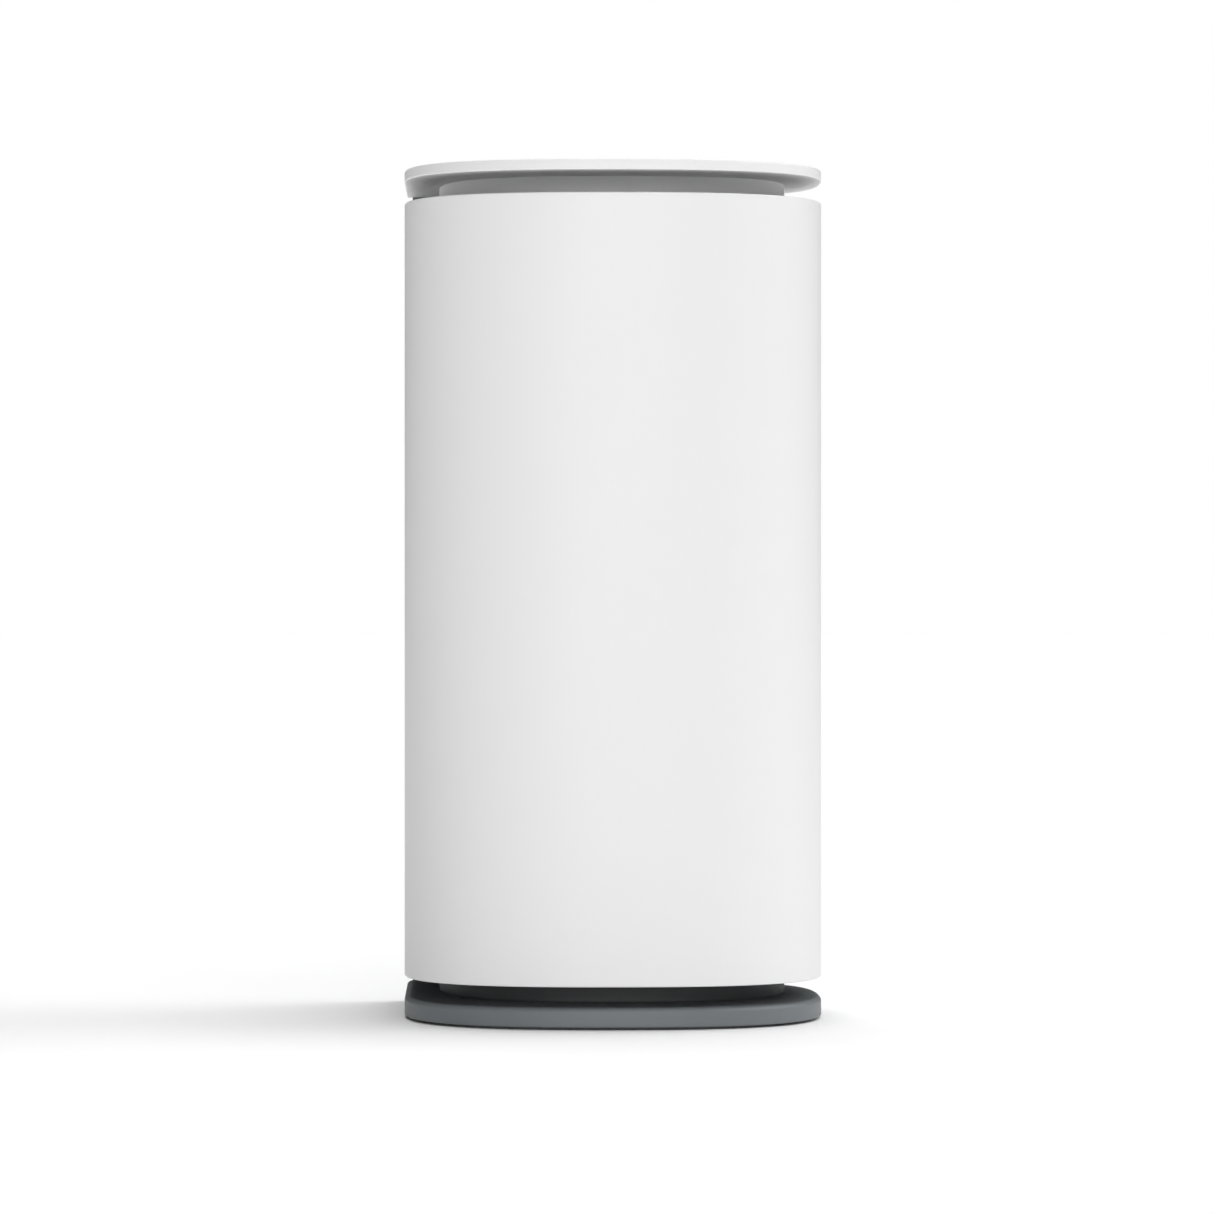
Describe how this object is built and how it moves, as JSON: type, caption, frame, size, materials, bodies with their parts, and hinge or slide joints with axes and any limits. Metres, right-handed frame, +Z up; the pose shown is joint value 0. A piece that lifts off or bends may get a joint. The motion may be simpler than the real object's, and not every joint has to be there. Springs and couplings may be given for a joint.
{
  "type": "air purifier",
  "caption": "Tower air purifier with a rounded plan and one square rear corner, a white shell held clear of a thin lid and a slate base, and a rear filter cassette.",
  "frame": {"origin": "on the floor, at the middle of the plan's bounding square", "axes": "+Z up, -Y is the front, +X to the right seen from the front"},
  "size_m": [0.25, 0.25, 0.5065],
  "materials": {
    "white_shell": "fine satin, faint moulded grain",
    "light_plastic": "matt, light grey",
    "slate_plastic": "matt slate grey, fine texture",
    "charcoal_plastic": "matt dark grey, fine texture",
    "black_plastic": "matt black",
    "rubber_dark": "matt",
    "steel": "zinc plated",
    "bearing_steel": "ground",
    "motor_metal": "semi-matt",
    "brass_pins": "bright",
    "cable_jacket": "soft jacket",
    "circuit_board": "solder mask",
    "board_parts": "component cases",
    "light_guide": "frosted, translucent",
    "screen_mesh": "woven nylon",
    "filter_card": "plain board",
    "filter_paper": "pleated fibre",
    "carbon": "granules in a bonded pad",
    "seal_foam": "closed-cell foam"
  },
  "bodies": {
    "root": {"foot_pad": "rubber_dark", "base_plate": "slate_plastic", "ballast_plate": "steel", "base_screws": "steel", "neck_lower": "charcoal_plastic", "core_housing": "light_plastic", "neck_upper": "white_shell", "front_shell": "white_shell", "shell_posts": "light_plastic", "shell_screws": "steel", "lid_plate": "white_shell", "lid_screws": "steel", "rear_panel": "slate_plastic", "panel_screws": "steel", "filter_bay": "light_plastic", "bay_magnets": "steel", "inlet_ring": "light_plastic", "fan_guard": "slate_plastic", "fan_posts": "light_plastic", "fan_bushes": "rubber_dark", "motor_bracket": "steel", "motor_screws": "steel", "motor_body": "motor_metal", "motor_bearings": "bearing_steel", "motor_lead": "cable_jacket", "main_board": "circuit_board", "board_parts": "board_parts", "board_posts": "light_plastic", "dust_sensor": "black_plastic", "ribbon_cable": "cable_jacket", "power_inlet": "black_plastic", "inlet_pins": "brass_pins", "control_board": "circuit_board", "control_screws": "steel", "key_switch": "black_plastic", "button_spring": "steel", "light_ring": "light_guide"},
    "filter_cassette": {"rear_cover": "slate_plastic", "mesh_screen": "screen_mesh", "filter_frame": "filter_card", "pleated_filter": "filter_paper", "carbon_pad": "carbon", "filter_seal": "seal_foam", "cassette_magnets": "steel"},
    "impeller": {"fan_impeller": "light_plastic", "impeller_nut": "brass_pins", "motor_shaft": "steel"},
    "power_button": {"power_button": "white_shell"}
  },
  "joints": [
    {"name": "cassette_slide", "type": "slide", "parent": "root", "child": "filter_cassette", "axis": [0, 1, 0], "range_m": [0, 0.12]},
    {"name": "impeller_spin", "type": "hinge", "parent": "root", "child": "impeller", "pos_m": [0, 0, 0.257], "axis": [0, 1, 0], "continuous": true},
    {"name": "button_press", "type": "slide", "parent": "root", "child": "power_button", "axis": [0, 0, -1], "range_m": [0, 0.0012], "stiffness_N_per_m": 900, "springref_m": -0.0004, "deforming": ["button_spring"]}
  ]
}
